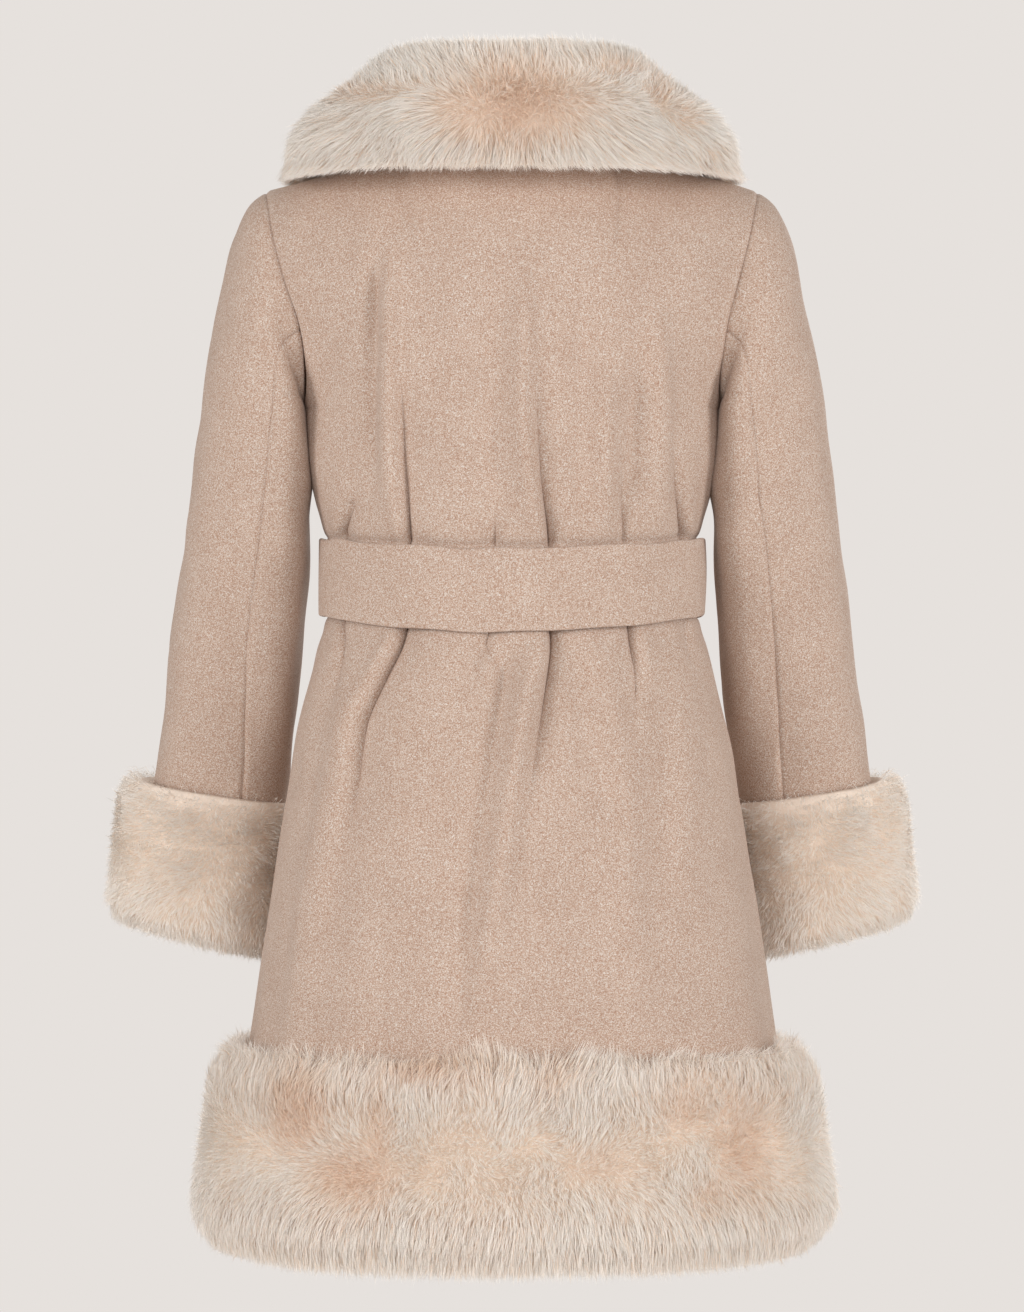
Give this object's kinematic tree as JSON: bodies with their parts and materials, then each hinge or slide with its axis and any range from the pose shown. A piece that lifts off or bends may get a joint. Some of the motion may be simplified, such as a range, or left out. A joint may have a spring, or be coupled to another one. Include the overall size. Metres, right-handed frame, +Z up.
{
  "type": "fur-trimmed coat",
  "caption": "Belted knee-length A-line wool coat with a wide fur collar, turn-back fur cuffs and a deep fur hem band, filled out as worn and hollow inside",
  "frame": {"origin": "between the shoulders at the base of the neck, half way through the depth of the coat, where the wearer holds it up", "axes": "+Z up along the coat's length, +Y the way the front faces, +X to the side of the right-hand sleeve as seen from behind"},
  "size_m": [0.6864, 0.4209, 0.9739],
  "materials": {
    "wool": "heathered beige-pink melton wool, matt with a soft nap",
    "fur": "cream faux fur with peach-tan roots, dense and soft"
  },
  "bodies": {
    "root": {"back": "wool", "front_left": "wool", "front_right": "wool", "sleeve_left_upper": "wool", "sleeve_left_under": "wool", "sleeve_right_upper": "wool", "sleeve_right_under": "wool", "belt": "wool", "belt_knot": "wool", "belt_tail_left": "wool", "belt_tail_right": "wool", "collar": "fur", "cuff_left": "fur", "cuff_right": "fur", "hem_fur_back": "fur", "hem_fur_front_left": "fur", "hem_fur_front_right": "fur"}
  },
  "joints": []
}
